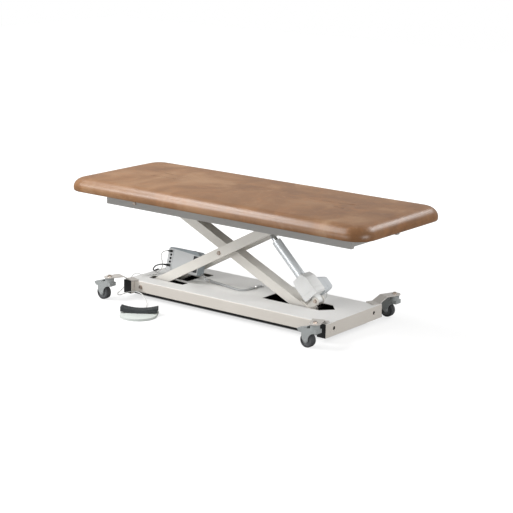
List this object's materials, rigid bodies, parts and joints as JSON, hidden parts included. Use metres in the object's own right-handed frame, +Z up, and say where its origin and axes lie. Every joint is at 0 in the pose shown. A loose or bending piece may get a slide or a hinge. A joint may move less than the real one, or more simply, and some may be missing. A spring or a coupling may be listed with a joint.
{
  "type": "height-adjustable examination table",
  "caption": "Powered examination table: padded flat top on a steel frame, crossed-arm lift with a linear actuator, low base on braked swivel castors, foot pedal and control box.",
  "frame": {"origin": "on the floor, under the middle of the base", "axes": "+X along the table towards the end with the actuator, +Y across the table away from the foot pedal, +Z up"},
  "size_m": [1.93, 0.9875, 0.643],
  "materials": {
    "steel_white": "satin powder coat, warm off-white",
    "frame_grey": "satin powder coat, mid grey",
    "castor_grey": "satin grey",
    "bright_steel": "bright zinc-plated steel",
    "bolt_steel": "bronze-tinted plated bolt steel",
    "roller_dark": "dark nylon",
    "wheel_rubber": "charcoal grey rubber",
    "black_plastic": "black moulded plastic",
    "box_grey": "light grey moulded plastic",
    "housing_white": "white moulded plastic",
    "motor_grey": "blue-grey painted shell",
    "tube_aluminium": "bright drawn aluminium",
    "rod_steel": "polished rod",
    "pedal_plate": "pale mint-white plate",
    "treadle_black": "black ribbed rubbery plastic",
    "pan_black": "black moulded sheet",
    "cable_white": "off-white cable sheath",
    "board_wood": "plain plywood",
    "upholstery": "brown mottled vinyl upholstery, semi-gloss"
  },
  "bodies": {
    "base": {"base_cover": "steel_white", "base_pan": "pan_black", "lower_roller_tracks": "steel_white", "crossmember_left": "steel_white", "crossmember_right": "steel_white", "crossmember_caps": "black_plastic", "castor_arms": "steel_white", "castor_bolts": "bolt_steel", "base_pivot_shaft": "bolt_steel", "control_box": "box_grey", "control_sockets": "black_plastic", "control_bracket": "steel_white", "actuator_lead": "cable_white", "lead_clips": "bright_steel", "pedal_base": "pedal_plate", "pedal_cable": "cable_white", "mains_lead": "black_plastic", "mains_coil": "black_plastic", "mains_plug": "black_plastic"},
    "treadle": {"pedal_treadle": "treadle_black"},
    "outer_arms": {"outer_arm_near": "steel_white", "outer_arm_far": "steel_white", "outer_arm_cross_tubes": "steel_white", "rod_bracket": "steel_white", "centre_pivot_shaft": "bolt_steel", "upper_axle": "bright_steel"},
    "upper_roller_pair": {"upper_rollers": "roller_dark"},
    "inner_arm_body": {"inner_arm": "steel_white", "lower_axle": "bright_steel", "clevis_bracket": "steel_white", "clevis_pin": "bolt_steel"},
    "lower_roller_pair": {"lower_rollers": "roller_dark"},
    "table_top": {"frame_rail_near": "frame_grey", "frame_rail_far": "frame_grey", "frame_ends": "frame_grey", "frame_cross_bars": "frame_grey", "upper_roller_tracks": "frame_grey", "pivot_brackets": "frame_grey", "frame_pivot_shaft": "bright_steel", "frame_bolts": "bolt_steel", "top_board": "board_wood", "cushion": "upholstery"},
    "actuator_body": {"gear_housing": "housing_white", "motor_housing": "motor_grey", "actuator_tube": "tube_aluminium", "motor_lead": "cable_white"},
    "rod": {"actuator_rod": "rod_steel", "rod_pin": "bolt_steel"},
    "castor_1": {"castor_1_fork": "castor_grey"},
    "castor_1_wheel": {"castor_1_wheel": "wheel_rubber"},
    "castor_1_brake": {"castor_1_brake": "castor_grey"},
    "castor_2": {"castor_2_fork": "castor_grey"},
    "castor_2_wheel": {"castor_2_wheel": "wheel_rubber"},
    "castor_2_brake": {"castor_2_brake": "castor_grey"},
    "castor_3": {"castor_3_fork": "castor_grey"},
    "castor_3_wheel": {"castor_3_wheel": "wheel_rubber"},
    "castor_3_brake": {"castor_3_brake": "castor_grey"},
    "castor_4": {"castor_4_fork": "castor_grey"},
    "castor_4_wheel": {"castor_4_wheel": "wheel_rubber"},
    "castor_4_brake": {"castor_4_brake": "castor_grey"}
  },
  "joints": [
    {"name": "lift", "type": "hinge", "parent": "base", "child": "outer_arms", "pos_m": [-0.57, 0, 0.0625], "axis": [0, -1, 0], "range_deg": [-4.5, 16.5]},
    {"name": "arm_crossing", "type": "hinge", "parent": "outer_arms", "child": "inner_arm_body", "pos_m": [-0.12356, 0, 0.3049], "axis": [0, -1, 0], "range_deg": [-30.6, 8.4]},
    {"name": "top_pivot", "type": "hinge", "parent": "inner_arm_body", "child": "table_top", "pos_m": [-0.64111, 0, 0.54729], "axis": [0, -1, 0], "range_deg": [-3.9, 14.1]},
    {"name": "actuator_swing", "type": "hinge", "parent": "inner_arm_body", "child": "actuator_body", "pos_m": [0.44156, 0, 0.12635], "axis": [0, -1, 0], "range_deg": [-1.7, 0.5]},
    {"name": "actuator_stroke", "type": "slide", "parent": "actuator_body", "child": "rod", "axis": [-0.7148, 0, 0.6993], "range_m": [-0.041, 0.1495]},
    {"name": "upper_roller_spin", "type": "hinge", "parent": "outer_arms", "child": "upper_roller_pair", "pos_m": [0.32288, 0, 0.54729], "axis": [0, 1, 0], "continuous": true},
    {"name": "lower_roller_spin", "type": "hinge", "parent": "inner_arm_body", "child": "lower_roller_pair", "pos_m": [0.39399, 0, 0.0625], "axis": [0, 1, 0], "continuous": true},
    {"name": "treadle_rock", "type": "hinge", "parent": "base", "child": "treadle", "pos_m": [-0.368, -0.468, 0.019], "axis": [-0.5446, 0.8387, 0], "range_deg": [-4, 4], "stiffness_Nm_per_rad": 6},
    {"name": "castor_1_swivel", "type": "hinge", "parent": "base", "child": "castor_1", "pos_m": [-0.677, -0.36, 0.1], "axis": [0, 0, 1], "continuous": true},
    {"name": "castor_1_roll", "type": "hinge", "parent": "castor_1", "child": "castor_1_wheel", "pos_m": [-0.717, -0.36, 0.0375], "axis": [0, 1, 0], "continuous": true},
    {"name": "castor_1_lock", "type": "hinge", "parent": "castor_1", "child": "castor_1_brake", "pos_m": [-0.723, -0.36, 0.086], "axis": [0, -1, 0], "range_deg": [0, 14]},
    {"name": "castor_2_swivel", "type": "hinge", "parent": "base", "child": "castor_2", "pos_m": [0.677, -0.36, 0.1], "axis": [0, 0, 1], "continuous": true},
    {"name": "castor_2_roll", "type": "hinge", "parent": "castor_2", "child": "castor_2_wheel", "pos_m": [0.637, -0.36, 0.0375], "axis": [0, 1, 0], "continuous": true},
    {"name": "castor_2_lock", "type": "hinge", "parent": "castor_2", "child": "castor_2_brake", "pos_m": [0.631, -0.36, 0.086], "axis": [0, -1, 0], "range_deg": [0, 14]},
    {"name": "castor_3_swivel", "type": "hinge", "parent": "base", "child": "castor_3", "pos_m": [0.677, 0.36, 0.1], "axis": [0, 0, 1], "continuous": true},
    {"name": "castor_3_roll", "type": "hinge", "parent": "castor_3", "child": "castor_3_wheel", "pos_m": [0.637, 0.36, 0.0375], "axis": [0, 1, 0], "continuous": true},
    {"name": "castor_3_lock", "type": "hinge", "parent": "castor_3", "child": "castor_3_brake", "pos_m": [0.631, 0.36, 0.086], "axis": [0, -1, 0], "range_deg": [0, 14]},
    {"name": "castor_4_swivel", "type": "hinge", "parent": "base", "child": "castor_4", "pos_m": [-0.677, 0.36, 0.1], "axis": [0, 0, 1], "continuous": true},
    {"name": "castor_4_roll", "type": "hinge", "parent": "castor_4", "child": "castor_4_wheel", "pos_m": [-0.717, 0.36, 0.0375], "axis": [0, 1, 0], "continuous": true},
    {"name": "castor_4_lock", "type": "hinge", "parent": "castor_4", "child": "castor_4_brake", "pos_m": [-0.723, 0.36, 0.086], "axis": [0, -1, 0], "range_deg": [0, 14]}
  ],
  "couplings": [
    {"joint": "arm_crossing", "follows": "lift", "ratio": -1.846},
    {"joint": "top_pivot", "follows": "lift", "ratio": 0.846},
    {"joint": "actuator_swing", "follows": "lift", "ratio": -0.0973},
    {"joint": "actuator_stroke", "follows": "lift", "m_per_rad": 0.518}
  ]
}
